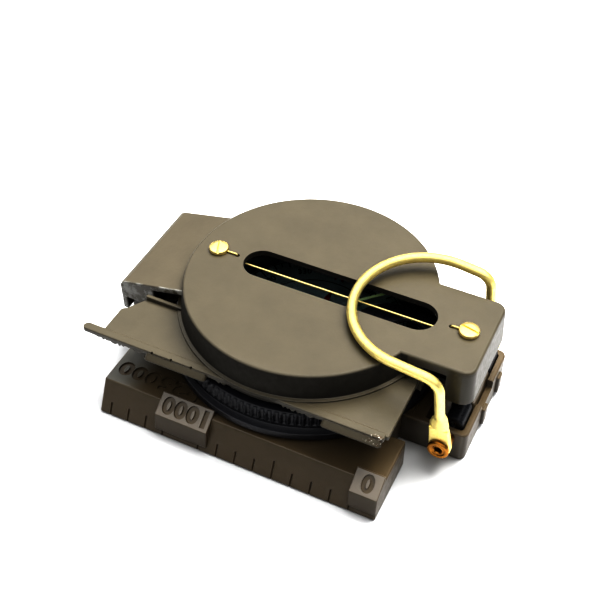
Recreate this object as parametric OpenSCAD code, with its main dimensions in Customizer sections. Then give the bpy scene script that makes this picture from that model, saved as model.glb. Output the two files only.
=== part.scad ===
// Folding lensatic geology compass, closed, with its thumb ring over the lid.
// Millimetres. +Z up, +X from the lid hinge to the eyepiece end, +Y away from
// the ruler edge. The origin is on the dial axis, in the plane of the underside.

/* [Base casting] */
// Length of the bevelled ruler edge
ruler_len = 59.7; // [50:0.1:70]
// Right-hand end of the ruler edge, from the dial axis
ruler_end_x = 28.2; // [24:0.1:32]
// Foot of the ruler bevel, from the dial axis
ruler_foot_y = 32.2; // [28:0.1:36]
// Top of the ruler bevel, from the dial axis
ruler_top_y = 28.8; // [26:0.1:32]
// Height of the deck behind the bevel
deck_z = 6.8; // [5:0.1:9]
// Spacing of the engraved ruler lines, 100 m on the ground at 1:25000
tick_pitch = 4; // [1:0.5:10]
// Radius of the round body under the bezel
body_r = 28; // [24:0.1:32]
// Half width of the eyepiece end block
block_half_w = 12.2; // [9:0.1:15]
// Outer face of the eyepiece end block
block_end_x = 38.3; // [34:0.1:42]
// Height of the end block's rim
block_rim_z = 7.2; // [5:0.1:9]

/* [Bezel and capsule] */
// Bezel lip radius, the widest part of the turning ring
bezel_lip_r = 28.4; // [26:0.1:30]
// Radius over the bezel's ribs
bezel_rib_r = 27.6; // [25:0.1:30]
// Number of ribs, one per 3 degree click
bezel_ribs = 120; // [60:1:180]
// Top of the bezel
bezel_top_z = 13.4; // [11:0.1:15]
// Radius of the neck the bezel turns on
neck_r = 25.62; // [22:0.02:27]
// Radius of the dial card
card_r = 19.5; // [15:0.1:21]

/* [Lid] */
// Height of the lid's top face
lid_top_z = 22; // [18:0.1:28]
// Radius of the drum at its top edge
drum_top_r = 25.25; // [22:0.05:28]
// Radius of the drum where it meets the plate
drum_foot_r = 25.9; // [23:0.05:29]
// Upper face of the plate around the drum
plate_z = 16.3; // [14:0.1:19]
// Front edge of the lid's ruler flange
flange_y = 26.2; // [24:0.1:30]
// Half width of the tongue at the eyepiece end
tongue_half_w = 10.2; // [7:0.1:13]
// End face of the tongue
tongue_end_x = 37.5; // [33:0.1:41]
// Half width of the sighting slot
slot_half_w = 3.8; // [2:0.1:5]
// Half width of the sloping hood over the hinge
hood_half_w = 12.2; // [9:0.1:15]
// Outer face of the hood's end wall
hood_end_x = 37.4; // [34:0.1:41]
// Lid hinge pin, distance from the dial axis and height
hinge_x = 33.5; // [30:0.1:37]
hinge_z = 6; // [4:0.1:12]

/* [Thumb ring] */
// Wire diameter
ring_wire_d = 2; // [1:0.1:3]
// Centreline radius of the loop
ring_r = 14.3; // [13:0.1:16]
// Centre of the loop along X
ring_centre_x = 24.3; // [20:0.1:26]
// Pivot position
ring_pivot_x = 34; // [30:0.1:38]
ring_pivot_z = 5.6; // [4:0.1:8]

/* [Eyepiece] */
// Bracket hinge position
eye_x = 35; // [32:0.1:38]
eye_z = 7.6; // [6:0.1:10]
// Lens centre from the dial axis, folded
lens_x = 20.5; // [16:0.1:26]
// Lens radius
lens_r = 4.2; // [3:0.1:6]

/* [Hidden] */
eps = 0.02;
ruler_start_x = ruler_end_x - ruler_len;
zero_x = ruler_end_x - 1.3;
flange_end_x = 26.6;
flange_tip_x = -37.2;
lid_wall = 1.3;
lid_under_z = lid_top_z - lid_wall;
drum_bottom_z = 14.2;
drum_in_r = 24.1;
slot_x0 = -14.6;
slot_x1 = 26.3;
wire_z = lid_under_z - 0.24;
wire_r = 0.22;
wire_hole_x = [-16.4, 29.2];
wire_screw_x = [-20.6, 32.7];
// the hand-bent wire is not quite true: its loop rises towards the far side
ring_tilt = 2.9;
ring_top_x = 32.3;
ring_top_y = [-15.15, 13.4];
ring_eye_y = 14.7;
ring_z = lid_top_z + ring_wire_d / 2 + 0.12 - ring_top_y[0] * sin(ring_tilt);
ring_bend_r = 3;
floor_z = 2.6;
neck_in_r = 23.6;
neck_top_z = 11.8;
lip_z = 7.5;
tray_x0 = 29.4;
tray_x1 = block_end_x - 1.2;
tray_half_w = block_half_w - 1.3;
tray_z = 1.4;
bracket_z = 14.2;
bracket_top_z = 15.6;
tab_x = 32.2;
plate_x0 = -33;
plate_x1 = 27.2;
lip_low_z = 14.6;
$fn = 96;

// ---------- helpers ----------

// cylinder along Y, centred on y
module ycyl(r, h, x, y, z) {
    translate([x, y, z]) rotate([90, 0, 0]) cylinder(r = r, h = h, center = true);
}

// box from its lowest and highest corners
module box(a, b) {
    translate(a) cube(b - a);
}

// ring from two radii and two heights
module tube(r_out, r_in, z0, z1) {
    difference() {
        translate([0, 0, z0]) cylinder(r = r_out, h = z1 - z0);
        translate([0, 0, z0 - 1]) cylinder(r = r_in, h = z1 - z0 + 2);
    }
}

// outline in the YZ plane, extruded from x0 to x1
module yz_prism(pts, x0, x1) {
    translate([x0, 0, 0]) rotate([90, 0, 90]) linear_extrude(x1 - x0) polygon(pts);
}

// outline in the XZ plane, extruded from y0 to y1
module xz_prism(pts, y0, y1) {
    translate([0, y1, 0]) rotate([90, 0, 0]) linear_extrude(y1 - y0) polygon(pts);
}

module mirrored_y() {
    children();
    mirror([0, 1, 0]) children();
}

function unit(v) = v / norm(v);

function reversed(list) = [for (i = [len(list) - 1 : -1 : 0]) list[i]];

// the way from p to s, its corner at q rounded by r
function bent(p, q, s, r, steps = 8) =
    let (u = unit(p - q), v = unit(s - q), half = acos(u * v) / 2,
         mid = q + unit(u + v) * r / sin(half),
         e = unit(q + u * r / tan(half) - mid), n = unit(cross(e, v)), f = cross(n, e),
         turn = 180 - 2 * half)
    [for (k = [0 : steps]) mid + r * (e * cos(turn * k / steps) + f * sin(turn * k / steps)), s];

// wire of radius w along a row of points, carried along without twist
module wire(path, w, sides = 16) {
    n = len(path);
    t = [for (i = [0 : n - 1]) unit(path[min(i + 1, n - 1)] - path[max(i - 1, 0)])];
    start = unit(cross(t[0], [0, 1, 0]));
    side = [for (i = 0, e = start; i < n;
                 i = i + 1, e = unit(e - t[min(i, n - 1)] * (e * t[min(i, n - 1)]))) e];
    points = [for (i = [0 : n - 1]) let (e = side[i], f = cross(t[i], e)) for (k = [0 : sides - 1])
                  path[i] + w * (e * cos(360 * k / sides) + f * sin(360 * k / sides))];
    walls = [for (i = [0 : n - 2], k = [0 : sides - 1])
                 let (a = i * sides, b = a + sides, c = (k + 1) % sides)
                 for (tri = [[a + k, b + k, b + c], [a + k, b + c, a + c]]) tri];
    polyhedron(points, concat([[for (k = [0 : sides - 1]) k]], walls,
                              [[for (k = [sides - 1 : -1 : 0]) (n - 1) * sides + k]]));
}

// ---------- base body ----------

// ruler block: bevelled face, deck and the two raised number pads
module ruler_block() {
    yz_prism([[-ruler_foot_y, 0], [-ruler_top_y, deck_z], [-17.6, deck_z], [-17.6, 0]],
             ruler_start_x, ruler_end_x);
    for (pad = [[zero_x - 46, zero_x - 34.6], [zero_x - 4.2, ruler_end_x]])
        yz_prism([[-26.6, deck_z - 1], [-26.6, 7.3], [-30.7, 5.3], [-30.7, 3]],
                 pad[0], pad[1]);
}

// one engraved line on the bevelled face, from its foot up
module ruler_tick(x, len) {
    translate([x, -ruler_foot_y, 0])
        rotate([-atan2(ruler_foot_y - ruler_top_y, deck_z), 0, 0])
            translate([-0.2, -0.35, -1]) cube([0.4, 0.6, len + 1]);
}

module base_housing() {
    color([0.30, 0.26, 0.20])
    difference() {
        union() {
            ruler_block();
            cylinder(r = body_r, h = deck_z);
            cylinder(r = 26.6, h = lip_z - 0.1);
            cylinder(r = neck_r, h = neck_top_z);
            // eyepiece end block, with its two end ribs
            box([18, -block_half_w, 0], [block_end_x, block_half_w, block_rim_z]);
            for (y = [-1.5, 7.6])
                box([block_end_x - 1, y - 1.1, 0.6], [block_end_x + 0.6, y + 1.1, 5]);
            // hinge lug, stepped down where it passes under the bezel's lip
            box([-hinge_x, -7.9, hinge_z - 2.6], [-bezel_lip_r - 0.5, 7.9, hinge_z + 2.6]);
            box([-hinge_x, -7.9, hinge_z - 2.6], [-26, 7.9, lip_z - 0.3]);
            ycyl(2.6, 15.8, -hinge_x, 0, hinge_z);
        }
        // capsule well above the floor, cover recess below it
        translate([0, 0, floor_z]) cylinder(r = neck_in_r, h = 20);
        translate([0, 0, -1]) cylinder(r = 21.5, h = 2.2);
        // snap ring groove
        tube(neck_r + 1, 25.2, 9.5, 10.3);
        // open tray for the eyepiece hinge, and a low wall between it and the bezel
        box([tray_x0, -tray_half_w, tray_z], [tray_x1, tray_half_w, 20]);
        box([27, -tray_half_w, deck_z], [tray_x0 + eps, tray_half_w, 20]);
        // sighting notch in the end wall
        box([block_end_x - 3, -3.4, 5.4], [block_end_x + 2, 3.4, 20]);
        // hinge pin and rivet bores
        ycyl(1.0, 40, -hinge_x, 0, hinge_z);
        ycyl(1.1, 60, ring_pivot_x, 0, ring_pivot_z);
        // cover screw holes
        for (a = [30, 150, 270]) rotate([0, 0, a]) translate([18.5, 0, -1])
            cylinder(r = 0.8, h = 3.2, $fn = 24);
        // ruler lines every 100 m, the long one at 500 m
        for (i = [1 : 14]) if (i != 10)
            ruler_tick(zero_x - i * tick_pitch, i == 5 ? 4.2 : 3);
    }
    // eyepiece hinge lug, standing in the tray
    color([0.30, 0.26, 0.20])
    difference() {
        union() {
            box([eye_x - 1.9, -4.6, tray_z - 0.4], [eye_x + 1.9, 4.6, eye_z]);
            ycyl(1.9, 9.2, eye_x, 0, eye_z);
        }
        ycyl(0.75, 20, eye_x, 0, eye_z);
    }
}

module bottom_cover() {
    color([0.26, 0.23, 0.18])
    difference() {
        cylinder(r = 21.4, h = 1.2);
        for (a = [30, 150, 270]) rotate([0, 0, a]) translate([18.5, 0, -1]) {
            cylinder(r = 0.85, h = 4, $fn = 24);
            cylinder(r = 1.6, h = 1.6, $fn = 32);
        }
    }
}

module cover_screws() {
    color([0.75, 0.75, 0.76])
    for (a = [30, 150, 270]) rotate([0, 0, a]) translate([18.5, 0, 0])
        difference() {
            union() {
                translate([0, 0, 0.05]) cylinder(r = 1.5, h = 0.55, $fn = 32);
                cylinder(r = 0.78, h = 2.1, $fn = 24);
            }
            box([-2, -0.2, -1], [2, 0.2, 0.3]);
        }
}

module hinge_pin() {
    color([0.7, 0.7, 0.72]) ycyl(1.0, 20.6, -hinge_x, 0, hinge_z);
}

module eyepiece_pin() {
    color([0.7, 0.7, 0.72]) ycyl(0.75, 20.6, eye_x, 0, eye_z);
}

// hollow brass rivets that carry the thumb ring, one in each side wall
module ring_rivets() {
    color([0.83, 0.62, 0.25])
    mirrored_y() difference() {
        union() {
            ycyl(1.1, 1.4, ring_pivot_x, -11.6, ring_pivot_z);
            ycyl(2.0, 1.7, ring_pivot_x, -13.05, ring_pivot_z);
            ycyl(1.4, 2.4, ring_pivot_x, -14.7, ring_pivot_z);
            ycyl(2.15, 0.7, ring_pivot_x, -15.85, ring_pivot_z);
        }
        ycyl(0.75, 20, ring_pivot_x, -15, ring_pivot_z);
    }
}

// ---------- capsule ----------

module compass_bowl() {
    color([0.78, 0.78, 0.74])
    difference() {
        translate([0, 0, floor_z]) cylinder(r = 23.3, h = 8);
        translate([0, 0, floor_z + 0.8]) cylinder(r = 22.5, h = 20);
        translate([0, 0, 0]) cylinder(r = 1.2, h = 10, $fn = 48);
    }
}

module pivot_post() {
    color([0.72, 0.6, 0.3]) {
        translate([0, 0, floor_z]) cylinder(r = 1.2, h = 3.4, $fn = 48);
        translate([0, 0, 6]) cylinder(r = 0.5, h = 2, $fn = 32);
        translate([0, 0, 8]) cylinder(r1 = 0.5, r2 = 0.05, h = 0.32, $fn = 32);
    }
}

module bowl_gasket() {
    color([0.08, 0.08, 0.08]) tube(23.3, 21.8, 10.6, 11);
}

module capsule_glass() {
    color([0.75, 0.86, 0.88, 0.5]) translate([0, 0, 11]) cylinder(r = 23.3, h = 0.8);
}

// click spring for the bezel, lying on the far side of the deck
module detent_spring() {
    color([0.7, 0.7, 0.72])
    rotate([0, 0, 118]) translate([27.3, 0, deck_z]) {
        box([-0.6, -3.4, 0], [0.6, 3.4, 0.25]);
        intersection() {
            translate([0, 0, -0.3]) rotate([0, 90, 0]) cylinder(r = 0.92, h = 1.2, center = true, $fn = 32);
            box([-1, -1, 0.1], [1, 1, 2]);
        }
    }
}

module bezel_snap_ring() {
    color([0.7, 0.7, 0.72])
    difference() {
        tube(25.95, 25.25, 9.6, 10.2);
        box([20, -1.2, 9], [30, 1.2, 11]);
    }
}

// ---------- bezel ----------

// star outline with one rib per click, flat-topped
function rib_points(n, r_out, r_root) = [
    for (i = [0 : n - 1]) for (k = [0 : 3])
        let (a = (i + [0.02, 0.28, 0.42, 0.88][k]) * 360 / n,
             r = k < 2 ? r_root : r_out)
        [r * cos(a), r * sin(a)]
];

module bezel_ring() {
    color([0.12, 0.10, 0.09])
    difference() {
        union() {
            translate([0, 0, lip_z]) cylinder(r = bezel_lip_r, h = 1.7);
            translate([0, 0, lip_z + 1.7])
                cylinder(r1 = bezel_lip_r, r2 = bezel_rib_r - 0.5, h = 1.4);
            translate([0, 0, 10.4]) linear_extrude(bezel_top_z - 0.5 - 10.4)
                polygon(rib_points(bezel_ribs, bezel_rib_r, bezel_rib_r - 0.55));
            translate([0, 0, bezel_top_z - 0.5])
                cylinder(r1 = bezel_rib_r - 0.2, r2 = bezel_rib_r - 0.7, h = 0.5);
        }
        translate([0, 0, 0]) cylinder(r = neck_r + 0.07, h = 12);
        translate([0, 0, 0]) cylinder(r = 22.8, h = 12.9);
        cylinder(r = 21.8, h = 20);
        tube(26.05, 24, 9.5, 10.3);
    }
}

module bezel_glass() {
    color([0.8, 0.9, 0.9, 0.4]) translate([0, 0, 12.05]) cylinder(r = 22.8, h = 0.85);
}

// two luminous bars on the bezel glass, one click-sector of 45 degrees apart
module marching_lines() {
    color([0.75, 0.85, 0.6])
    for (a = [0, 45]) rotate([0, 0, a]) box([9, -0.3, 12.9], [21, 0.3, 13.0]);
}

// ---------- card ----------

module compass_card() {
    color([0.9, 0.9, 0.86]) tube(card_r, 2.0, 8.5, 8.9);
}

module card_magnets() {
    color([0.4, 0.4, 0.42])
    for (s = [-1, 1]) box([-11, s * 4.5 - 0.9, 6.9], [11, s * 4.5 + 0.9, 8.5]);
}

module jewel_cap() {
    color([0.80, 0.62, 0.28])
    difference() {
        union() {
            translate([0, 0, 7.2]) cylinder(r = 2.0, h = 2.1, $fn = 48);
            translate([0, 0, 9.3]) cylinder(r1 = 2.0, r2 = 1.2, h = 0.4, $fn = 48);
        }
        translate([0, 0, 7]) cylinder(r = 0.58, h = 1.42, $fn = 32);
    }
}

// ---------- lid ----------

// slot outline along X
module slot_cut(x0, x1, r, z0, z1) {
    translate([0, 0, z0]) linear_extrude(z1 - z0) {
        translate([x0 + r, -r]) square([x1 - x0 - 2 * r, 2 * r]);
        translate([x0 + r, 0]) circle(r = r, $fn = 64);
        translate([x1 - r, 0]) circle(r = r, $fn = 64);
    }
}

// plate outside the drum, on the ruler side, with the ruler flange in front
module lid_plate() {
    translate([0, 0, plate_z - 1.1]) linear_extrude(1.1) polygon([
        [plate_x0, -flange_y + 1], [plate_x0, -18.4], [plate_x0 + 0.9, -17.7],
        [-29.9, -14.2], [-29.9, -13.3], [-20, -13.3], [20, -13.3], [plate_x1, -9.6],
        [plate_x1, -flange_y + 1]]);
    // raised rib along the edge beside the hood
    box([-29.9, -14.2, plate_z - 0.5], [-20, -13.3, plate_z + 0.9]);
    // flange bar, running past the plate to the left
    box([flange_tip_x + 0.9, -flange_y, plate_z - 1.0], [flange_end_x, -flange_y + 1.8, plate_z + 0.1]);
    translate([flange_tip_x + 0.9, -flange_y + 0.9, plate_z - 1.0]) cylinder(r = 0.9, h = 1.1, $fn = 32);
    // lips that slope down from the flange on both sides of the bezel
    for (s = [[-22.6, -9.2], [14.6, 26.4]])
        yz_prism([[-flange_y + 1, plate_z - 0.5], [-flange_y, plate_z - 0.2],
                  [-flange_y - 1.1, lip_low_z + 0.4], [-flange_y - 0.8, lip_low_z],
                  [-flange_y + 1, lip_low_z]], s[0], s[1]);
}

// outside of the drum, with a broken top edge
module drum_outside() {
    translate([0, 0, drum_bottom_z]) cylinder(r = drum_foot_r, h = plate_z - drum_bottom_z);
    translate([0, 0, plate_z])
        cylinder(r1 = drum_foot_r, r2 = drum_top_r, h = lid_top_z - plate_z - 0.4);
    translate([0, 0, lid_top_z - 0.4]) cylinder(r1 = drum_top_r, r2 = drum_top_r - 0.4, h = 0.4);
}

module lid_shell() {
    color([0.36, 0.32, 0.25])
    difference() {
        union() {
            drum_outside();
            lid_plate();
            // tongue
            translate([0, 0, lid_top_z - 0.4]) linear_extrude(0.4)
                tongue_outline(0.4);
            translate([0, 0, 13.8]) linear_extrude(lid_top_z - 0.4 - 13.8)
                tongue_outline(0);
        }
        // inside of the drum
        translate([0, 0, 0]) cylinder(r = drum_in_r, h = lid_under_z);
        // inside of the tongue
        box([10, -tongue_half_w + lid_wall, 0], [tongue_end_x - lid_wall, tongue_half_w - lid_wall, lid_under_z]);
        // windows in the tongue's side walls, beside the end tabs
        for (s = [-1, 1]) {
            y0 = min(s * (tongue_half_w - 3), s * (tongue_half_w + 1));
            box([25.6, y0, plate_z], [tab_x, y0 + 4, lid_under_z - 0.6]);
            box([plate_x1 + 0.6, y0, 0], [tab_x, y0 + 4, lid_under_z - 0.6]);
        }
        // sighting slot and wire holes
        slot_cut(slot_x0, slot_x1, slot_half_w, 10, 30);
        for (x = wire_hole_x) translate([x, 0, 10]) cylinder(r = 0.45, h = 20, $fn = 24);
        for (x = wire_screw_x) translate([x, 0, lid_under_z - 1]) cylinder(r = 0.8, h = 4, $fn = 24);
    }
}

// plan of the tongue, its outer corners rounded
module tongue_outline(inset) {
    r = 2.2;
    w = tongue_half_w - inset;
    e = tongue_end_x - inset;
    translate([15, -w]) square([e - 15 - r, 2 * w]);
    translate([e - r - 1, -w + r]) square([r + 1, 2 * w - 2 * r]);
    for (s = [-1, 1]) translate([e - r, s * (w - r)]) circle(r = r, $fn = 48);
}

// sloping hood over the hinge, with the two ears that turn on the pin
module hinge_hood() {
    low = 16.9;
    high = 20.4;
    color([0.36, 0.32, 0.25])
    difference() {
        union() {
            xz_prism([[-hood_end_x, 9.2], [-hood_end_x, low - 1.2], [-hood_end_x + 0.4, low - 0.4],
                      [-hood_end_x + 1.3, low + 0.1], [-21, high], [-21, high - 1.4],
                      [-hood_end_x + 1.4, low - 1.4], [-hood_end_x + 1.2, 9.2]],
                     -hood_half_w, hood_half_w);
            // cheeks beside the hinge
            mirrored_y() xz_prism([[-hood_end_x, 12.4], [-hood_end_x, low - 1.2],
                                   [-29.4, low + 0.7], [-29.4, 15.4], [-33, 12.4]],
                                  -hood_half_w, -hood_half_w + 1.4);
            // hinge ears
            mirrored_y() {
                xz_prism([[-hinge_x - 2.6, hinge_z], [-hood_end_x + 1, 10], [-hood_end_x + 1, low - 1],
                          [-31, low], [-31, 12], [-hinge_x + 2.6, hinge_z]], -10.3, -8.2);
                ycyl(2.6, 2.1, -hinge_x, -9.25, hinge_z);
            }
        }
        ycyl(1.06, 60, -hinge_x, 0, hinge_z);
        drum_outside();
    }
}

module sight_wire() {
    color([0.83, 0.68, 0.35]) {
        translate([wire_hole_x[0], 0, wire_z]) rotate([0, 90, 0])
            cylinder(r = wire_r, h = wire_hole_x[1] - wire_hole_x[0], $fn = 24);
        for (i = [0, 1]) {
            x = wire_hole_x[i];
            out = wire_screw_x[i];
            translate([x, 0, wire_z]) cylinder(r = wire_r, h = lid_top_z + 0.24 - wire_z, $fn = 24);
            for (z = [wire_z, lid_top_z + 0.24]) translate([x, 0, z]) sphere(r = wire_r, $fn = 24);
            translate([min(x, out + 1.2), 0, lid_top_z + 0.24]) rotate([0, 90, 0])
                cylinder(r = wire_r, h = i == 0 ? x - out - 1.2 : out - 1.2 - x, $fn = 24);
        }
    }
}

// slotted cheese-head screws that clamp the wire's ends
module wire_screws() {
    color([0.85, 0.68, 0.3])
    for (i = [0, 1]) translate([wire_screw_x[i], 0, lid_top_z])
        difference() {
            union() {
                translate([0, 0, 0.02]) cylinder(r = 2.0, h = 0.75, $fn = 64);
                translate([0, 0, 0.77]) cylinder(r1 = 2.0, r2 = 1.7, h = 0.25, $fn = 64);
                translate([0, 0, -1.6]) cylinder(r = 0.78, h = 2, $fn = 24);
            }
            rotate([0, 0, -12]) box([-3, -0.22, 0.5], [3, 0.22, 2]);
            // relief over the wire's end
            box(i == 0 ? [1.15, -0.3, -1] : [-3, -0.3, -1], i == 0 ? [3, 0.3, 0.5] : [-1.15, 0.3, 0.5]);
        }
}

// ---------- thumb ring ----------

// where a straight side that ends at q leaves the loop; side is -1 or 1
function leaves_at(q, side) = atan2(q.y, q.x) + side * acos(ring_r / norm(q));

// a point of the loop's plane, from the loop's centre
function on_loop(p) =
    [ring_centre_x + p.x, p.y * cos(ring_tilt), ring_z + p.y * sin(ring_tilt)];

module thumb_ring() {
    w = ring_wire_d / 2;
    px = ring_pivot_x;
    pz = ring_pivot_z;
    tops = [for (y = ring_top_y) [ring_top_x - ring_centre_x, y]];
    near = leaves_at(tops[0], -1) + 360;
    far = leaves_at(tops[1], 1);
    arc = [for (k = [0 : 40]) let (a = near + (far - near) * k / 40)
               on_loop([ring_r * cos(a), ring_r * sin(a)])];
    legs = [for (i = [0, 1]) let (a = i == 0 ? near : far, top = on_loop(tops[i]),
                eye = [px, i == 0 ? -ring_eye_y : ring_eye_y, pz])
                bent(i == 0 ? arc[0] : arc[40], top, eye + (top - eye) * 0.4, ring_bend_r)];
    color([0.85, 0.66, 0.28])
    difference() {
        union() {
            wire(concat(reversed(legs[0]), arc, legs[1]), w);
            // flattened ends with their eyes
            mirrored_y() {
                xz_prism([[px - 2.15, pz], [px - 2.3, pz + 3.4], [px - 2.2, pz + 6.4],
                          [px - 1.8, pz + 8.6], [px + 0.2, pz + 8.6], [px + 1, pz + 6.4],
                          [px + 1.7, pz + 3.4], [px + 2.15, pz]], -15.4, -14.0);
                ycyl(2.15, 1.4, px, -ring_eye_y, pz);
            }
        }
        ycyl(1.46, 60, px, 0, pz);
    }
}

// ---------- eyepiece ----------

module lens_bracket() {
    color([0.06, 0.06, 0.07])
    difference() {
        union() {
            // flat arm with a rounded, notched nose
            translate([0, 0, bracket_z]) linear_extrude(bracket_top_z - bracket_z) {
                translate([17, -7.5]) square([17.6, 15]);
                translate([17, 0]) circle(r = 7.5, $fn = 96);
            }
            // webs down to the hinge, and the barrel
            mirrored_y() {
                box([33.2, -7.5, eye_z], [34.6, -5.2, bracket_z + 0.5]);
                ycyl(1.9, 5.6, eye_x, -7.8, eye_z);
            }
        }
        // lens bore and window
        translate([lens_x, 0, 10]) cylinder(r = lens_r - 0.4, h = 10);
        translate([lens_x, 0, bracket_z + 0.3]) cylinder(r = lens_r + 0.05, h = 10);
        box([27.5, -4.4, 10], [31.6, 4.4, 20]);
        // sighting notch in the nose
        translate([0, 0, 10]) linear_extrude(10) polygon([[9, -1.6], [12.2, -0.25], [12.2, 0.25], [9, 1.6]]);
        ycyl(0.81, 40, eye_x, 0, eye_z);
    }
}

module eyepiece_lens() {
    color([0.7, 0.82, 0.9, 0.6])
    intersection() {
        translate([lens_x, 0, bracket_z + 0.3]) cylinder(r = lens_r, h = 3);
        translate([lens_x, 0, bracket_z + 1.9 - 12]) sphere(r = 12, $fn = 128);
    }
}

module lens_retainer() {
    color([0.1, 0.1, 0.11])
    translate([lens_x, 0, 0]) tube(lens_r + 0.9, lens_r - 0.4, bracket_top_z, bracket_top_z + 0.6);
}

base_housing();
bottom_cover();
cover_screws();
hinge_pin();
eyepiece_pin();
ring_rivets();
compass_bowl();
pivot_post();
bowl_gasket();
capsule_glass();
detent_spring();
bezel_snap_ring();
bezel_ring();
bezel_glass();
marching_lines();
compass_card();
card_magnets();
jewel_cap();
lid_shell();
hinge_hood();
sight_wire();
wire_screws();
thumb_ring();
lens_bracket();
eyepiece_lens();
lens_retainer();
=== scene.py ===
"""Looks for the folding lensatic geology compass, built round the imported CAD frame.

Every piece is modelled in millimetres in the CAD's own axes and scaled to metres
when it is finished. +Z is up, +X runs from the lid hinge to the eyepiece end and
+Y away from the ruler edge; the origin is on the dial axis at the underside.
"""

import math
import random

import bmesh
import bpy
from mathutils import Matrix, Vector
from mathutils.geometry import tessellate_polygon


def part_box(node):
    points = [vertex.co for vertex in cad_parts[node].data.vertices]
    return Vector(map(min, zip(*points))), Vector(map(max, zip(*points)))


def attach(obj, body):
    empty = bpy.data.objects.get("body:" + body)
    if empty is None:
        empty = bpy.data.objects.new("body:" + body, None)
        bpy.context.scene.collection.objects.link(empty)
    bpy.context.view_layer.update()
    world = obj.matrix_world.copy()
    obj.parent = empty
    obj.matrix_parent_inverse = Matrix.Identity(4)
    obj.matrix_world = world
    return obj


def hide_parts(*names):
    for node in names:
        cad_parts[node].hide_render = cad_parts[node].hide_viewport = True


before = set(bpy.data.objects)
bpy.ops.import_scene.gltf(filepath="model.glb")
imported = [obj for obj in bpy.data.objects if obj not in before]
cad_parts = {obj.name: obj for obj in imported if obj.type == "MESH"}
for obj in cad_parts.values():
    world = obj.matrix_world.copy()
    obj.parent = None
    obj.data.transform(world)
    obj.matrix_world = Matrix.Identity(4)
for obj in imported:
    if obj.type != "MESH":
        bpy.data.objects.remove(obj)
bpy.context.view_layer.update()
scene = bpy.context.scene
MM = 0.001
PI = math.pi

# ---------------------------------------------------------------- dimensions
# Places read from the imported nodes, in millimetres.


def node_box(node):
    """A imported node's box in millimetres."""
    low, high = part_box(node)
    return low / MM, high / MM


RULER_FOOT = node_box("base_housing")[0].y
LID_TOP = node_box("lid_shell")[1].z
BEZEL_R, _, BEZEL_TOP = node_box("bezel_ring")[1]
CARD_R, _, CARD_TOP = node_box("compass_card")[1]

# Base: ruler, deck, round body and its neck, end block, number pads.
RULER_X, RULER_TOP = (-31.5, 28.2), -28.8
ZERO_X = RULER_X[1] - 1.3
TICK_PITCH = 4.0
DECK = 6.8
BODY_R, NECK_R = 28.0, 25.62
BLOCK_END, BLOCK_HALF, BLOCK_RIM = 38.3, 12.2, 7.2
PAD_TOP, PAD_FOOT = (-27.3, 8.05), (-31.35, 5.25)  # y, z of the face's edges
PAD_RISE = (PAD_TOP[1] - PAD_FOOT[1]) / (PAD_TOP[0] - PAD_FOOT[0])

# Axes along Y, as x and z, and the radii of the barrels on them.
HINGE, HINGE_BARREL = (-33.5, 6.0), 2.6
EYE_HINGE, EYE_BARREL = (35.0, 7.6), 1.9
PIVOT = (34.0, 5.6)

# Lid: drum, plate, tongue, sighting slot (x from, x to, half width), flange.
DRUM_TOP_R, DRUM_FOOT_R = 25.25, 25.9
PLATE = 16.3
TONGUE_HALF, TONGUE_END, TONGUE_CORNER = 10.2, 37.1, 2.2
SLOT = (-14.6, 26.3, 3.8)
FLANGE_Y = -26.2
WIRE_HOLES, SCREW_HOLES = (-16.4, 29.2), (-20.6, 32.7)

# Thumb ring: the loop's plane rises to the far side. The wire runs straight off it to
# RING_TOPS, x and y from the loop's centre, where the two legs bend down.
RING_R, RING_X, WIRE_R = 14.3, 24.3, 1.0
RING_TILT = math.radians(2.9)
RING_TOPS = ((8.0, -15.15), (8.0, 13.4))
RING_Z = LID_TOP + WIRE_R + 0.12 - RING_TOPS[0][1] * math.sin(RING_TILT)
EYE_Y = 14.7

LENS_X, LENS_R = 20.5, 3.8
NUMERAL_HEIGHT, NUMERAL_SPACING = 3.6, 1.08

# ------------------------------------------------------------ mesh building


def placed(name, data):
    """A new object in the scene."""
    obj = bpy.data.objects.new(name, data)
    scene.collection.objects.link(obj)
    return obj


def make(name, verts, faces):
    """A mesh object from its corners and faces."""
    mesh = bpy.data.meshes.new(name)
    mesh.from_pydata([tuple(v) for v in verts], [], faces)
    return placed(name, mesh)


def closed(obj, merge=1e-4):
    """Merges seams and turns the faces outwards."""
    bm = bmesh.new()
    bm.from_mesh(obj.data)
    bmesh.ops.remove_doubles(bm, verts=bm.verts, dist=merge)
    bmesh.ops.dissolve_degenerate(bm, dist=merge / 2, edges=bm.edges)
    bmesh.ops.recalc_face_normals(bm, faces=bm.faces)
    bm.to_mesh(obj.data)
    bm.free()
    return obj


def moved(obj, matrix):
    """Moves the mesh itself, so the object stays at the origin."""
    obj.data.transform(matrix)
    if matrix.determinant() < 0:
        obj.data.flip_normals()
    return obj


def shifted(obj, *by):
    """Moves the mesh by a vector."""
    return moved(obj, Matrix.Translation(by))


def rounded(points, radius, steps=4):
    """A polygon with its corners rounded by one radius, or by one for each corner."""
    out, n = [], len(points)
    for i, p in enumerate(points):
        r = radius[i] if isinstance(radius, (list, tuple)) else radius
        a, b, c = (Vector(points[k % n]) for k in (i - 1, i, i + 1))
        u, v = a - b, c - b
        if r <= 0 or u.angle(v) / 2 > PI / 2 - 0.02:
            out.append(tuple(b))
            continue
        half = u.angle(v) / 2
        t = min(r / math.tan(half), 0.48 * u.length, 0.48 * v.length)
        r = t * math.tan(half)
        u.normalize(), v.normalize()
        centre = b + (u + v).normalized() * (r / math.sin(half))
        start, end = b + u * t - centre, b + v * t - centre
        a0 = math.atan2(start.y, start.x)
        turn = math.atan2(end.y, end.x) - a0
        turn = (turn + PI) % (2 * PI) - PI
        for k in range(steps + 1):
            ang = a0 + turn * k / steps
            out.append((centre.x + r * math.cos(ang), centre.y + r * math.sin(ang)))
    return out


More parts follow.
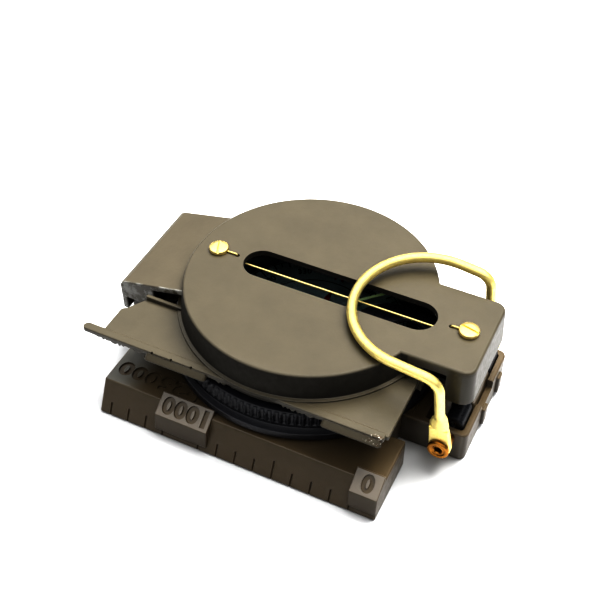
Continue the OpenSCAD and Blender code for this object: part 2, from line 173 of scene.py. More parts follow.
def area(loop):
    """The signed area of a polygon, above zero where it runs counterclockwise."""
    return sum(a[0] * b[1] - b[0] * a[1] for a, b in zip(loop, loop[1:] + loop[:1])) / 2


def turned(loop, ccw):
    """The polygon in the asked direction."""
    return list(loop) if (area(loop) > 0) == ccw else list(reversed(loop))


def inset(loop, d):
    """The loop moved d towards its left side, which is where the material is."""
    out, n = [], len(loop)
    for i in range(n):
        a, b, c = (Vector(loop[k % n]) for k in (i - 1, i, i + 1))
        e0, e1 = (b - a).normalized(), (c - b).normalized()
        n0, n1 = Vector((-e0.y, e0.x)), Vector((-e1.y, e1.x))
        m = (n0 + n1).normalized()
        out.append(tuple(b + m * (d / max(0.35, m.dot(n0)))))
    return out


def slab(outer, w0, w1, axis="Z", holes=(), edge=0.0, low=None, steps=3, taper=0.0):
    """A plate between two planes, its rims rounded by edge (top) and low (bottom).
    axis is the direction it is extruded in; taper moves the wall out per mm below w1."""
    if axis == "Y":
        w0, w1 = -w1, -w0
    low = edge if low is None else low
    loops = [turned(outer, True)] + [turned(h, False) for h in holes]
    levels = []
    for k in range(steps + 1 if low > 0 else 1):
        a = k / steps * PI / 2 if low > 0 else 0
        levels.append((low * (1 - math.sin(a)), w0 + low * (1 - math.cos(a))))
    for k in range(steps + 1 if edge > 0 else 1):
        a = k / steps * PI / 2 if edge > 0 else PI / 2
        levels.append((edge * (1 - math.cos(a)), w1 - edge * (1 - math.sin(a))))
    verts, faces, start = [], [], {}
    for k, (d, w) in enumerate(levels):
        for j, loop in enumerate(loops):
            start[k, j] = len(verts)
            out = -taper * (w1 - w) if j == 0 else 0.0
            verts += [(u, v, w) for u, v in inset(loop, d + out)]
    for k in range(len(levels) - 1):
        for j, loop in enumerate(loops):
            a, b, n = start[k, j], start[k + 1, j], len(loop)
            for i in range(n):
                i1 = (i + 1) % n
                faces.append((a + i, a + i1, b + i1, b + i))
    for k, up in ((0, False), (len(levels) - 1, True)):
        first = start[k, 0]
        rings, at = [], first
        for loop in loops:
            rings.append([Vector(verts[at + i]) for i in range(len(loop))])
            at += len(loop)
        for tri in tessellate_polygon(rings):
            p = [verts[first + i] for i in tri]
            normal = (Vector(p[1]) - Vector(p[0])).cross(Vector(p[2]) - Vector(p[0])).z
            tri = tri if (normal > 0) == up else tuple(reversed(tri))
            faces.append(tuple(first + i for i in tri))
    place = {
        "Z": lambda v: v,
        "X": lambda v: (v[2], v[0], v[1]),
        "Y": lambda v: (v[0], -v[2], v[1]),
    }[axis]
    return closed(make("slab", [place(v) for v in verts], faces))


def block(a, b, edge=0.0, low=None, axis="Z"):
    """A box from its lowest and highest corners, with rounded rims and corners."""
    k = "XYZ".index(axis)
    i, j = {"X": (1, 2), "Y": (0, 2), "Z": (0, 1)}[axis]
    loop = [(a[i], a[j]), (b[i], a[j]), (b[i], b[j]), (a[i], b[j])]
    return slab(rounded(loop, edge, 3) if edge else loop, a[k], b[k], axis, (), edge, low)


def lathe(profile, segments=128, wave=None):
    """A closed (r, z) profile turned round the Z axis. wave(r, z, angle) may move r."""
    profile = turned(profile, True)
    n, verts, faces = len(profile), [], []
    for s in range(segments):
        ang = 2 * PI * s / segments
        for r, z in profile:
            r = wave(r, z, ang) if wave else r
            verts.append((r * math.cos(ang), r * math.sin(ang), z))
    for s in range(segments):
        a, b = s * n, (s + 1) % segments * n
        for i in range(n):
            j = (i + 1) % n
            if max(profile[i][0], profile[j][0]) < 1e-6:
                continue
            faces.append((a + i, b + i, b + j, a + j))
    return closed(make("lathe", verts, faces))


def along_y(obj, x, y, z, outward=-1):
    """Lays a lathe on its side: its +Z becomes -Y, or +Y where outward is 1."""
    spin = Matrix.Rotation(-outward * PI / 2, 4, "X")
    return moved(obj, Matrix.Translation((x, y, z)) @ spin)


def disc(r, z0, z1, edge=0.0, segments=96):
    """A cylinder with broken rims."""
    return lathe(
        rounded([(0, z0), (r, z0), (r, z1), (0, z1)], [0, edge, edge, 0], 3), segments
    )


def rod(r, y0, y1, x, z, edge=0.0, segments=64):
    """A cylinder along Y."""
    return along_y(disc(r, -y1, -y0, edge, segments), x, 0, z)


def sweep(path, halves, sides=24, side=(1, 0, 0)):
    """A tube along path. halves gives the two half widths of its section at each point,
    the first of them along side, which is carried along the path without twist."""
    verts, faces = [], []
    side = Vector(side)
    for i, p in enumerate(path):
        a, b = path[max(i - 1, 0)], path[min(i + 1, len(path) - 1)]
        t = (Vector(b) - Vector(a)).normalized()
        side = (side - t * side.dot(t)).normalized()
        other = t.cross(side)
        ha, hb = halves[i]
        for k in range(sides):
            ang = 2 * PI * k / sides
            verts.append(
                Vector(p) + side * (ha * math.cos(ang)) + other * (hb * math.sin(ang))
            )
    for i in range(len(path) - 1):
        for k in range(sides):
            a, b, c = i * sides, (i + 1) * sides, (k + 1) % sides
            faces.append((a + k, a + c, b + c, b + k))
    faces.append(tuple(reversed(range(sides))))
    faces.append(tuple(range(len(verts) - sides, len(verts))))
    return closed(make("sweep", verts, faces))


def cleared(obj):
    """Deletes an object and its mesh."""
    mesh = obj.data
    bpy.data.objects.remove(obj)
    bpy.data.meshes.remove(mesh)


def boolean(obj, other, operation):
    """Applies a boolean to obj and uses up other."""
    mod = obj.modifiers.new("cut", "BOOLEAN")
    mod.operation, mod.solver, mod.object = operation, "MANIFOLD", other
    graph = bpy.context.evaluated_depsgraph_get()
    done = bpy.data.meshes.new_from_object(obj.evaluated_get(graph))
    if not done.polygons:
        raise RuntimeError(f"{operation} of {obj.name} and {other.name} left nothing")
    old = obj.data
    obj.modifiers.clear()
    obj.data = done
    bpy.data.meshes.remove(old)
    cleared(other)
    return obj


def union(obj, *others):
    """Merges the others into obj."""
    for other in others:
        boolean(obj, other, "UNION")
    return obj


def minus(obj, *others):
    """Cuts the others out of obj."""
    for other in others:
        boolean(obj, other, "DIFFERENCE")
    return obj


def glyphs(words, width, height, depth, matrix, bold=0.0):
    """Extruded numerals that fill width by height, centred in matrix's XY plane."""
    curve = bpy.data.curves.new("glyphs", "FONT")
    curve.body, curve.extrude, curve.resolution_u = words, 0.5, 4
    curve.offset, curve.space_character = bold, NUMERAL_SPACING
    text = placed("glyphs", curve)
    graph = bpy.context.evaluated_depsgraph_get()
    mesh = bpy.data.meshes.new_from_object(text.evaluated_get(graph))
    bpy.data.objects.remove(text)
    obj = placed("glyphs", mesh)
    co = [v.co for v in mesh.vertices]
    low = Vector(min(v[k] for v in co) for k in range(3))
    high = Vector(max(v[k] for v in co) for k in range(3))
    size = high - low
    scale = Matrix.Diagonal((width / size.x, height / size.y, depth / size.z, 1))
    moved(obj, matrix @ scale @ Matrix.Translation(-(low + high) / 2))
    return closed(obj)


def scored(obj, low, high, step=0.6):
    """Splits the upward faces over a rectangle by a grid, so that no stroke engraved
    there lies as a hole inside one face."""
    bm = bmesh.new()
    bm.from_mesh(obj.data)
    for axis in (0, 1):
        across = Vector((1 - axis, axis, 0))
        for k in range(int((high[axis] - low[axis]) / step) + 1):
            spot = across * (low[axis] + k * step)
            faces = [f for f in bm.faces if f.normal.z > 0.5 and all(
                min(v.co[a] for v in f.verts) < high[a]
                and max(v.co[a] for v in f.verts) > low[a] for a in (0, 1))]
            parts = {e for f in faces for e in f.edges}, {v for f in faces for v in f.verts}
            geom = faces + [x for part in parts for x in sorted(part, key=lambda x: x.index)]
            bmesh.ops.bisect_plane(bm, geom=geom, plane_co=spot, plane_no=across, dist=1e-5)
            for layer in (bm.faces, bm.edges, bm.verts):
                layer.index_update()
    bm.to_mesh(obj.data)
    bm.free()
    return obj


def joined(objects, name):
    """Several loose solids as one mesh."""
    bm = bmesh.new()
    for obj in objects:
        bm.from_mesh(obj.data)
        cleared(obj)
    mesh = bpy.data.meshes.new(name)
    bm.to_mesh(mesh)
    bm.free()
    return placed(name, mesh)


def piece(obj, name, body, material, stands_for=(), sharp=36, flat=False):
    obj.name = obj.data.name = name
    obj.data.transform(Matrix.Scale(MM, 4))
    obj.data.materials.clear()
    obj.data.materials.append(material)
    if not flat:
        obj.data.shade_smooth()
        obj.data.set_sharp_from_angle(angle=math.radians(sharp))
        mod = obj.modifiers.new("normals", "WEIGHTED_NORMAL")
        mod.keep_sharp = True
    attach(obj, body)
    if stands_for:
        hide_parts(*stands_for)
    return obj


# ---------------------------------------------------------------- materials


class Nodes:
    """The nodes of a material or of the world."""

    def __init__(self, tree):
        self.nodes, self.links = tree.nodes, tree.links

    def put(self, socket, value):
        """Links the socket to another node's output, or sets it."""
        if hasattr(value, "is_linked"):
            self.links.new(value, socket)
        else:
            socket.default_value = (*value, 1) if socket.type == "RGBA" else value

    def new(self, kind, inputs, out=0, **settings):
        """An output of a new node, once its settings and inputs are in."""
        node = self.nodes.new("ShaderNode" + kind)
        for key, value in settings.items():
            setattr(node, key, value)
        for key, value in inputs.items():
            self.put(node.inputs[key], value)
        return node.outputs[out]

    def ranged(self, value, a, b, c=0.0, d=1.0, smooth=False):
        """value mapped from a..b to c..d, and held there."""
        inputs = {"Value": value, "From Min": a, "From Max": b, "To Min": c, "To Max": d}
        kind = "SMOOTHSTEP" if smooth else "LINEAR"
        return self.new("MapRange", inputs, "Result", interpolation_type=kind)

    def math(self, operation, a, b=0.0):
        return self.new("Math", {0: a, 1: b}, operation=operation)

    def times(self, *masks):
        """The product of several masks."""
        out = masks[0]
        for mask in masks[1:]:
            out = self.math("MULTIPLY", out, mask)
        return out


class Look(Nodes):
    """A Principled material with noise in object space, in millimetres."""

    def __init__(self, name, **values):
        self.mat = bpy.data.materials.new(name)
        self.mat.use_nodes = True
        super().__init__(self.mat.node_tree)
        self.shader = self.nodes["Principled BSDF"]
        self.set(**values)
        place = self.new("TexCoord", {}, "Object")
        self.mm = self.new("VectorMath", {0: place, "Scale": 1 / MM}, operation="SCALE")

    def set(self, **values):
        """Sets or links the shader's sockets; _ in a name stands for a space."""
        for key, value in values.items():
            self.put(self.shader.inputs[key.replace("_", " ")], value)
        return self

    def stretched(self, *factors):
        return self.new("VectorMath", {0: self.mm, 1: factors}, operation="MULTIPLY")

    def noise(self, per_mm, detail=3.0, rough=0.55, where=None):
        inputs = {"Vector": where or self.mm, "Scale": per_mm, "Detail": detail}
        return self.new("TexNoise", {**inputs, "Roughness": rough}, "Fac")

    def mix(self, fac, a, b):
        """A mix of two colours; 6, 7 and 2 are the node's colour sockets."""
        return self.new("Mix", {0: fac, 6: a, 7: b}, 2, data_type="RGBA")

    def bump(self, height, depth_mm, under=None):
        inputs = {"Strength": 1.0, "Distance": depth_mm * MM, "Height": height}
        if under is not None:
            inputs["Normal"] = under
        return self.new("Bump", inputs, "Normal")

    def facing(self, letter):
        """One part of the surface's own normal, in the piece's axes."""
        return self.new("SeparateXYZ", {0: self.new("TexCoord", {}, "Normal")}, letter)

    def length(self, where):
        return self.new("VectorMath", {0: where}, "Value", operation="LENGTH")

    def axis(self, letter):
        return self.new("SeparateXYZ", {0: self.mm}, letter)


def cast_drum(look, colour, shade, rough):
    """The drum's side painted darker as painted shade, with a rougher coat there, and its top rim
    painted paler as a painted highlight.
    """
    level = look.math("ABSOLUTE", look.facing("Z"))
    out = look.length(look.stretched(1, 1, 0))
    # painted shade: the drum's near-vertical side is darkened, and made rougher
    wall = look.times(look.ranged(level, 0.75, 0.35), look.ranged(out, 26.9, 26.4))
    shade = look.mix(wall, shade, tuple(c * DRUM_PAINTED_SHADE for c in colour))
    rough = look.math("ADD", rough, look.math("MULTIPLY", wall, DRUM_DULLNESS))
    # painted highlight: a paler, uneven band along the drum's rounded top rim
    rim = look.times(
        look.ranged(out, 24.85, 25.0),
        look.ranged(out, 25.4, 25.3),
        look.ranged(look.axis("Z"), 23.6, 23.75),
        look.ranged(look.noise(0.3, 4), 0.3, 0.6, 0.3, 1.0),
    )
    return look.mix(rim, shade, tuple(c * RIM_PAINTED_HIGHLIGHT for c in colour)), rough


def worn_flange(look, shade, normal):
    """The flange's edge: brown where the paint is thin, bare specks at its free end."""
    edge = look.ranged(look.axis("Y"), -25.3, -25.9, 0, 1, True)
    end = look.ranged(look.axis("X"), 20.0, 26.0, 0, 0.16, True)
    spots = look.math("ADD", look.noise(1.1, 4, 0.7), end)
    worn = look.times(look.ranged(spots, 0.66, 0.74), edge)
    shade = look.mix(worn, shade, THIN_PAINT)
    specks = look.math("ADD", look.noise(1.9, 2, 0.6), end)
    shade = look.mix(look.times(look.ranged(specks, 0.76, 0.79), edge), shade, BARE_SPECKS)
    return shade, look.bump(look.math("SUBTRACT", 1.0, worn), 0.03, normal)


def rubbed_base(look, shade):
    """Painted light: the pads' faces and the deck's left end painted paler, but not the numerals'
    grooves below them, which stay darker as painted shade; the end block's near wall painted paler
    as a painted reflection."""
    up = look.facing("Z")
    level = PAD_FOOT[1] - PAD_FOOT[0] * PAD_RISE
    plane = look.math("ADD", look.times(look.axis("Y"), PAD_RISE), level)
    sunk = look.math("SUBTRACT", plane, look.axis("Z"))
    # painted light on the pads' faces; the numerals' grooves keep the darker colour as painted
    # shade
    pad = look.times(
        look.ranged(up, 0.55, 0.7),
        look.ranged(up, 0.97, 0.9),
        look.ranged(look.axis("Y"), -27.0, -27.3),
        look.ranged(sunk, 0.32, 0.14),
    )
    # painted sheen: the deck's left end paler, fading to the right where the lid shades it
    deck = look.times(
        look.ranged(up, 0.97, 0.99),
        look.ranged(look.axis("X"), -22.0, -29.0, 0, 1, True),
        look.ranged(look.axis("Z"), 6.6, 6.75),
    )
    # painted reflection: the end block's near wall paler towards its corner
    wall = look.times(
        look.ranged(look.facing("Y"), -0.8, -0.95),
        look.ranged(look.axis("X"), 27.0, 31.0, 0, 1, True),
    )
    for mask, colour in ((pad, PAD_PAINTED_LIGHT), (deck, DECK_PAINTED_SHEEN), (wall, WALL_PAINTED_REFLECTION)):
        shade = look.mix(mask, shade, colour)
    return shade


def bare_cheek(look, shade):
    """The hood's cheek that faces the ruler, bare die-cast metal in patches."""
    cheek = look.ranged(look.axis("Y"), -11.9, -12.1)
    patches = look.ranged(look.noise(0.45, 4, 0.65), 0.42, 0.56)
    return look.mix(look.times(cheek, patches), shade, BARE_CAST)


def painted(name, colour, part=""):
    """Satin olive enamel with faint orange peel, blotches and dust nibs."""
    look = Look(name, Specular_IOR_Level=PAINT_SPEC)
    light = tuple(min(1, c * 1.07) for c in colour)
    dark = tuple(c * 0.93 for c in colour)
    blotch = look.noise(0.16, 4, 0.6)
    speckle = look.noise(5.0, 2, 0.5)
    tone = look.math("ADD", look.math("MULTIPLY", blotch, 0.7), look.math("MULTIPLY", speckle, 0.3))
    shade = look.mix(look.ranged(tone, 0.36, 0.64), dark, light)
    peel = look.noise(1.7, 2, 0.5)
    grain = look.noise(7.0, 2, 0.6)
    normal = look.bump(peel, 0.012)
    normal = look.bump(grain, 0.0035, normal)
    rough = look.ranged(look.noise(0.8, 3), 0.3, 0.7, *PAINT_ROUGH)
    # lid: painted shade and highlight on the drum, wear on the flange; base: painted light; hood:
    # bare metal on its cheek
    if part == "lid":
        shade, rough = cast_drum(look, colour, shade, rough)
        shade, normal = worn_flange(look, shade, normal)
    elif part == "base":
        shade = rubbed_base(look, shade)
    elif part == "hood":
        shade = bare_cheek(look, shade)
    return look.set(Base_Color=shade, Roughness=rough, Normal=normal).mat


def brassy(name, colour, rough, stain, dark=(0.36, 0.19, 0.06)):
    """Lacquered brass with drawing lines and a few brown stains."""
    look = Look(name, Metallic=1.0)
    fine = look.noise(3.0, 4, 0.6)
    spots = look.ranged(look.noise(1.1, 5, 0.7), 0.62, 0.74, 0, stain)
    tone = look.mix(look.ranged(fine, 0.3, 0.7), tuple(c * 0.94 for c in colour), colour)
    shade = look.mix(spots, tone, dark)
    roughness = look.ranged(look.noise(2.0, 3), 0.3, 0.7, rough * 0.8, rough * 1.35)
    normal = look.bump(look.noise(1.5, 3, 0.5), 0.006)
    normal = look.bump(look.noise(9.0, 2, 0.5), 0.0015, normal)
    return look.set(Base_Color=shade, Roughness=roughness, Normal=normal).mat


def steely(name, colour=(0.55, 0.55, 0.56), rough=0.28):
    """Drawn steel with fine lines."""
    look = Look(name, Metallic=1.0)
    lines = look.noise(2.2, 3, 0.6, look.stretched(6, 1, 6))
    tone = look.mix(look.ranged(lines, 0.3, 0.7), tuple(c * 0.85 for c in colour), colour)
    roughness = look.ranged(lines, 0.3, 0.7, rough * 0.8, rough * 1.3)
    return look.set(Base_Color=tone, Roughness=roughness, Normal=look.bump(lines, 0.002)).mat


def plastic(name, colour, rough, grain, depth, specular=0.2):
    """Plastic, rubber, enamel or ink, with a faint grain."""
    look = Look(name, Specular_IOR_Level=specular)
    tone = look.noise(0.5, 4, 0.6)
    light = tuple(c * 1.25 for c in colour)
    shade = look.mix(look.ranged(tone, 0.35, 0.65), colour, light)
    roughness = look.ranged(look.noise(1.6, 3), 0.3, 0.7, rough * 0.85, rough * 1.15)
    normal = look.bump(look.noise(grain, 2, 0.6), depth)
    return look.set(Base_Color=shade, Roughness=roughness, Normal=normal).mat


def glassy(name, tint=(0.86, 0.93, 0.95)):
    """Clear moulded glass with a faint wipe haze."""
    look = Look(name, Base_Color=tint, Transmission_Weight=1.0, IOR=1.49)
    haze = look.noise(0.25, 5, 0.7)
    return look.set(Roughness=look.ranged(haze, 0.45, 0.8, 0.02, 0.09)).mat


def glowing(name):
    """Luminous paint: pale green, slightly grainy."""
    look = Look(name, Roughness=0.6, Emission_Strength=0.05, Emission_Color=(0.55, 0.9, 0.4))
    grain = look.noise(6.0, 2, 0.6)
    shade = look.mix(look.ranged(grain, 0.3, 0.7), (0.50, 0.66, 0.32), (0.66, 0.80, 0.46))
    return look.set(Base_Color=shade, Normal=look.bump(grain, 0.01)).mat


PAINT_SPEC, PAINT_ROUGH = 0.5, (0.30, 0.42)
# The drum's side: painted shade and added roughness; its top rim: a painted highlight.
DRUM_PAINTED_SHADE, DRUM_DULLNESS, RIM_PAINTED_HIGHLIGHT = 0.32, 0.45, 2.0
THIN_PAINT, BARE_SPECKS = (0.050, 0.030, 0.014), (0.36, 0.33, 0.28)
# Bare cast metal for the hood's cheek; the end block's near wall painted paler as a painted
# reflection.
BARE_CAST, WALL_PAINTED_REFLECTION = (0.33, 0.325, 0.30), (0.16, 0.138, 0.11)
# The pads painted paler as painted light, the deck's left end as a painted sheen.
PAD_PAINTED_LIGHT, DECK_PAINTED_SHEEN = (0.15, 0.13, 0.105), (0.13, 0.125, 0.105)
OLIVE = painted("olive_enamel", (0.0615, 0.0522, 0.0345), part="lid")
# The hood's olive is painted lighter than the lid's, as painted light on its sloping top.
OLIVE_HOOD_PAINTED_LIGHTER = painted("olive_enamel_hood_painted_lighter", (0.075, 0.064, 0.0445), part="hood")
OLIVE_BASE = painted("olive_enamel_base", (0.075, 0.055, 0.030), part="base")
BEZEL_BLACK = plastic("bezel_black", (0.011, 0.011, 0.014), 0.34, 3.0, 0.003, 0.4)
BRACKET_BLACK = plastic("bracket_black", (0.010, 0.010, 0.012), 0.30, 5.0, 0.006)
BRASS = brassy("ring_brass", (1.0, 0.87, 0.40), 0.5, 0.15)
SCREW_BRASS = brassy("screw_brass", (0.95, 0.80, 0.38), 0.4, 0.15)
RIVET_BRASS = brassy("rivet_brass", (0.42, 0.205, 0.045), 0.3, 0.6, (0.12, 0.05, 0.012))
STEEL = steely("pin_steel")
GLASS = glassy("capsule_glass_look")
LENS = glassy("lens_glass_look", (0.9, 0.95, 0.97))
LUME = glowing("luminous_paint")
RUBBER = plastic("gasket_rubber", (0.012, 0.012, 0.012), 0.7, 6.0, 0.01)
BOWL = plastic("bowl_enamel", (0.62, 0.62, 0.58), 0.45, 4.0, 0.004)
CARD = plastic("card_white", (0.74, 0.74, 0.70), 0.5, 6.0, 0.002)
INK = plastic("dial_ink", (0.012, 0.012, 0.014), 0.5, 8.0, 0.001)
RED_INK = plastic("dial_red_ink", (0.42, 0.03, 0.02), 0.5, 8.0, 0.001)
MAGNET = steely("magnet_steel", (0.30, 0.30, 0.32), 0.4)
SPRING = steely("spring_steel", (0.05, 0.05, 0.055), 0.5)

# CAD nodes that show as they are: their look and their slot.
CARRIED = {
    "bottom_cover": (OLIVE_BASE, "dark_paint"),
    "cover_screws": (STEEL, "steel"),
    "hinge_pin": (STEEL, "steel"),
    "eyepiece_pin": (STEEL, "steel"),
    "compass_bowl": (BOWL, "bowl"),
    "pivot_post": (SCREW_BRASS, "brass"),
    "bowl_gasket": (RUBBER, "rubber"),
    "capsule_glass": (GLASS, "clear"),
    "detent_spring": (SPRING, "steel"),
    "bezel_snap_ring": (STEEL, "steel"),
    "bezel_glass": (GLASS, "clear"),
    "marching_lines": (LUME, "lume"),
    "card_magnets": (MAGNET, "steel"),
    "jewel_cap": (SCREW_BRASS, "brass"),
    "eyepiece_lens": (LENS, "clear"),
}
for node, (material, slot_name) in CARRIED.items():
    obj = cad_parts[node]
    obj.data.materials.clear()
    obj.data.materials.append(material)


# --------------------------------------------------------------------- base


def text_frame(x, y, z, slope=0.0):
    """A plane for text that reads from the far side: its right is -X, its up is -Y,
    tipped down towards the ruler edge by slope."""
    c, s = math.cos(slope), math.sin(slope)
    right, up, out = Vector((-1, 0, 0)), Vector((0, -c, -s)), Vector((0, -s, c))
    m = Matrix((right, up, out)).transposed().to_4x4()
    return Matrix.Translation((x, y, z)) @ m


def ruler_tick(x, length):
    """The cutter of one engraved line, wider at the surface than at its bottom."""
    bevel = math.atan2(RULER_TOP - RULER_FOOT, DECK)
    cut = slab([(-0.34, -0.3), (0.34, -0.3), (0.05, 0.3), (-0.05, 0.3)], -1, length)
    turn = Matrix.Rotation(-bevel, 4, "X")
    return moved(cut, Matrix.Translation((x, RULER_FOOT, 0)) @ turn)


def base_casting():
    """Round body, ruler, number pads, end block with its tray, and the hinge lugs."""
    e = 0.35
    foot, top = RULER_FOOT, RULER_TOP
    body = lathe(
        rounded(
            [(0, 1.2), (21.5, 1.2), (21.5, 0), (BODY_R, 0), (BODY_R, DECK), (26.6, DECK),
             (26.6, 7.4), (NECK_R, 7.4), (NECK_R, 9.5), (25.2, 9.5), (25.2, 10.3),
             (NECK_R, 10.3), (NECK_R, 11.8), (23.6, 11.8), (23.6, 2.6), (0, 2.6)],
            [0, 0.1, 0.2, e, e, 0.1, 0.2, 0.1, 0, 0, 0, 0, 0.2, 0.2, 0.3, 0], 3,
        ), 160,
    )
    ruler = slab(
        rounded([(foot, 0), (-17.6, 0), (-17.6, DECK), (top, DECK)], [0.3, 0, 0, e], 4),
        RULER_X[0], RULER_X[1], "X", edge=e,
    )
    union(body, scored(ruler, (-31.0, -26.8), (-10.8, -22.9)))
    pads = ((ZERO_X - 45.6, ZERO_X - 34.1), (ZERO_X - 4.4, RULER_X[1] - 0.02))
    profile = [(-26.9, DECK - 1), PAD_TOP, PAD_FOOT, (-31.95, 1.4), (-30.4, 1.0)]
    for x0, x1 in pads:
        pad = slab(rounded(profile, [0, 0.25, 0.25, 0.3, 0], 4), x0, x1, "X", edge=0.25)
        union(body, scored(pad, (x0 + 0.4, -31.3), (x1 - 0.4, -27.4)))
    # eyepiece end block with its end ribs, then the hinge lug
    plan = [(18, -BLOCK_HALF), (BLOCK_END, -BLOCK_HALF), (BLOCK_END, BLOCK_HALF), (18, BLOCK_HALF)]
    union(body, slab(rounded(plan, [0, 1.4, 1.4, 0], 6), 0, BLOCK_RIM, edge=0.4, low=0.3))
    for y in (-1.5, 7.6):
        rib = ((BLOCK_END - 1, y - 1.1, 0.6), (BLOCK_END + 0.6, y + 1.1, 5))
        union(body, block(*rib, 0.3))
    hx, hz = HINGE
    union(
        body,
        block((hx, -7.9, hz - HINGE_BARREL), (-26, 7.9, 7.2), 0.15),
        block((hx, -7.9, hz - HINGE_BARREL), (-BEZEL_R - 0.5, 7.9, hz + HINGE_BARREL), 0.15),
        rod(HINGE_BARREL, -7.9, 7.9, hx, hz, 0.3, 96),
    )
    # open tray for the eyepiece hinge, its low inner wall and the sighting notch
    x0, x1, half = 29.4, BLOCK_END - 1.2, BLOCK_HALF - 1.3
    minus(
        body,
        block((x0, -half, 1.4), (x1, half, 20), 0.6),
        block((27, -half, DECK), (x0 + 0.3, half, 20)),
        slab(
            rounded([(-3.4, 20), (-3.4, 5.4), (3.4, 5.4), (3.4, 20)], [0, 0.5, 0.5, 0]),
            BLOCK_END - 3, BLOCK_END + 2, "X",
        ),
        rod(1.0, -20, 20, hx, hz),
        rod(1.1, -30, 30, *PIVOT),
    )
    for k in range(3):
        a = math.radians(30 + 120 * k)
        hole = disc(0.8, -1, 2.2, 0, 24)
        minus(body, shifted(hole, 18.5 * math.cos(a), 18.5 * math.sin(a), 0))
    # ruler lines every 100 m, the long one at 500 m
    for i in range(1, 15):
        if i != 10:
            minus(body, ruler_tick(ZERO_X - i * TICK_PITCH, 4.2 if i == 5 else 3.0))
    # engraved numerals: 1000 and 0 on the pads, the map scale on the deck
    slope = math.atan2(PAD_TOP[1] - PAD_FOOT[1], PAD_TOP[0] - PAD_FOOT[0])
    mid_z = PAD_FOOT[1] + (-29.4 - PAD_FOOT[0]) * math.tan(slope)
    minus(
        body,
        glyphs("1000", 9.8, NUMERAL_HEIGHT, 0.7, text_frame(-12.9, -29.35, mid_z, slope), 0.055),
        glyphs("0", 2.5, NUMERAL_HEIGHT, 0.7, text_frame(25.5, -29.35, mid_z, slope), 0.055),
        glyphs("1:25000", 19.0, NUMERAL_HEIGHT, 0.6, text_frame(-20.9, -24.9, DECK), 0.05),
    )
    ex, ez = EYE_HINGE
    lug = union(
        block((ex - EYE_BARREL, -4.6, 1.0), (ex + EYE_BARREL, 4.6, ez), 0.2),
        rod(EYE_BARREL, -4.6, 4.6, ex, ez, 0.25),
    )
    union(body, minus(lug, rod(0.75, -20, 20, ex, ez)))
    return piece(body, "base_casting", "base", OLIVE_BASE, ["base_housing"])


def rivets():
    """Hollow brass rivets with a rolled, flared head."""
    profile = rounded(
        [(0.75, 10.9), (1.1, 10.9), (1.1, 12.25), (2.0, 12.25), (2.0, 13.85), (1.4, 13.85),
         (1.4, 15.52), (2.15, 15.52), (2.15, 16.2), (1.45, 16.2), (1.2, 15.95), (0.95, 16.1),
         (0.75, 15.8)],
        [0, 0, 0, 0.2, 0.2, 0, 0, 0.25, 0.3, 0.2, 0.15, 0.12, 0.1], 4,
    )
    both = [along_y(lathe(profile, 64), PIVOT[0], 0, PIVOT[1], s) for s in (-1, 1)]
    return piece(joined(both, "rivets"), "flared_rivets", "base", RIVET_BRASS,
                 ["ring_rivets"])


# -------------------------------------------------------------------- bezel


def bezel():
    """Turned ring with a smooth lip and a band of ribs above it."""
    ribs, low, high = 120, 10.5, BEZEL_TOP - 0.55

    def wave(r, z, ang):
        if r < 26.6 or z < low - 0.01 or z > high + 0.4:
            return r
        t = (ang / (2 * PI) * ribs) % 1
        bump = (0.5 - 0.5 * math.cos(2 * PI * t)) ** 1.8
        ends = min(1, (z - low) / 0.25, (high + 0.4 - z) / 0.35)
        return r + 0.62 * bump * max(0, ends)

    root = BEZEL_R - 1.36
    side = [(root, low + (high - low) * k / 8) for k in range(9)]
    profile = rounded(
        [(NECK_R + 0.07, 7.5), (BEZEL_R, 7.5), (BEZEL_R, 9.2), (root + 0.42, 10.35)],
        [0.15, 0.3, 0.4, 0.2], 4,
    )
    profile += side + rounded(
        [(root, high + 0.2), (root - 0.2, BEZEL_TOP), (21.8, BEZEL_TOP), (21.8, 12.9),
         (22.8, 12.9), (22.8, 12.0), (NECK_R + 0.07, 12.0), (NECK_R + 0.07, 10.3),
         (26.05, 10.3), (26.05, 9.5), (NECK_R + 0.07, 9.5)],
        [0.1, 0.3, 0.25, 0, 0, 0, 0, 0, 0, 0, 0], 3,
    )
    return piece(lathe(profile, ribs * 10, wave), "ribbed_bezel", "bezel", BEZEL_BLACK,
                 ["bezel_ring"], sharp=50)


# --------------------------------------------------------------------- card


